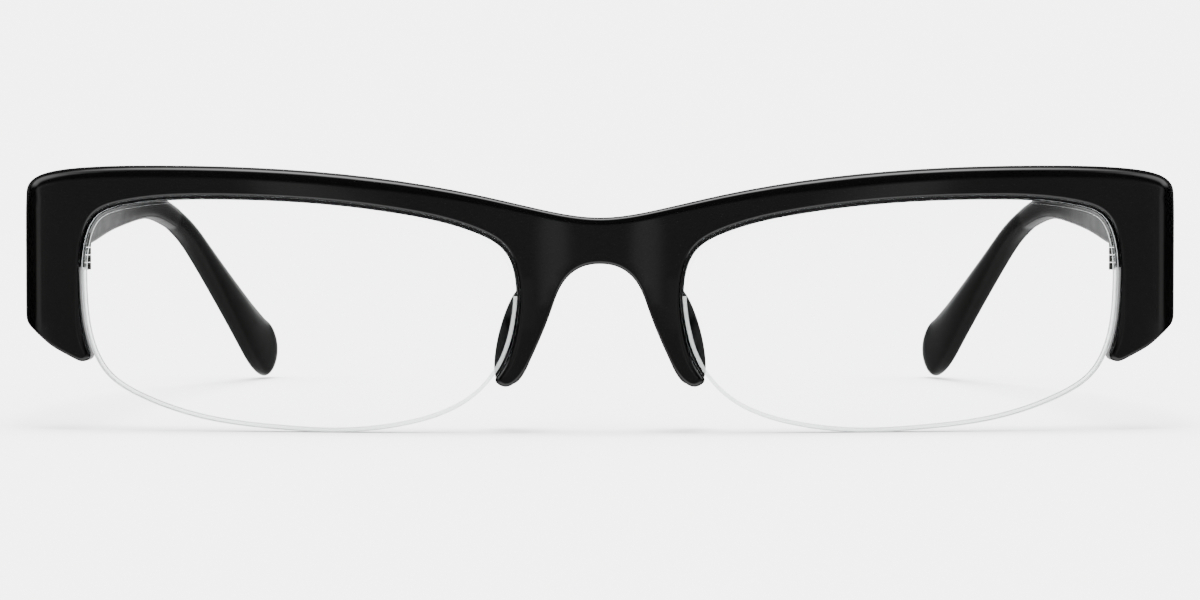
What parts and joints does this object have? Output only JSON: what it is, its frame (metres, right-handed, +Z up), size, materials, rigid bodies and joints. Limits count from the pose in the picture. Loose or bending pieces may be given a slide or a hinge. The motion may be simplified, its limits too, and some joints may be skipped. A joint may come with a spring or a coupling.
{
  "type": "half rim eyeglasses",
  "caption": "Half rim eyeglasses: a deep glossy acetate brow front with wide outer wings, clear lenses held below by nylon cord, and folding bent temples.",
  "frame": {"origin": "centre of the open glasses' footprint, on the table that the lens bottoms and temple tips stand on", "axes": "+Z up, the front faces -Y and the temples run back along +Y, the wearer's left is +X"},
  "size_m": [0.1402, 0.147, 0.032],
  "materials": {
    "black_acetate": "polished black cellulose acetate",
    "clear_lens": "clear plano lens with an anti-reflection coat",
    "clear_nylon": "clear nylon monofilament",
    "black_liner": "satin black nylon",
    "hinge_steel": "brushed nickel silver",
    "screw_steel": "polished stainless steel",
    "core_steel": "plain drawn wire"
  },
  "bodies": {
    "front": {"frame_front": "black_acetate", "lens_left": "clear_lens", "lens_right": "clear_lens", "lens_liner_left": "black_liner", "lens_liner_right": "black_liner", "nylon_cord_left": "clear_nylon", "nylon_cord_right": "clear_nylon", "nose_pad_left": "black_acetate", "nose_pad_right": "black_acetate", "hinge_front_left": "hinge_steel", "hinge_front_right": "hinge_steel", "hinge_screw_left": "screw_steel", "hinge_screw_right": "screw_steel"},
    "temple_left": {"temple_left": "black_acetate", "temple_core_left": "core_steel", "hinge_temple_left": "hinge_steel"},
    "temple_right": {"temple_right": "black_acetate", "temple_core_right": "core_steel", "hinge_temple_right": "hinge_steel"}
  },
  "joints": [
    {"name": "temple_left_fold", "type": "hinge", "parent": "front", "child": "temple_left", "pos_m": [0.0639, -0.0593, 0.0216], "axis": [0, 0, 1], "range_deg": [0, 84]},
    {"name": "temple_right_fold", "type": "hinge", "parent": "front", "child": "temple_right", "pos_m": [-0.0639, -0.0593, 0.0216], "axis": [0, 0, -1], "range_deg": [0, 71]}
  ]
}
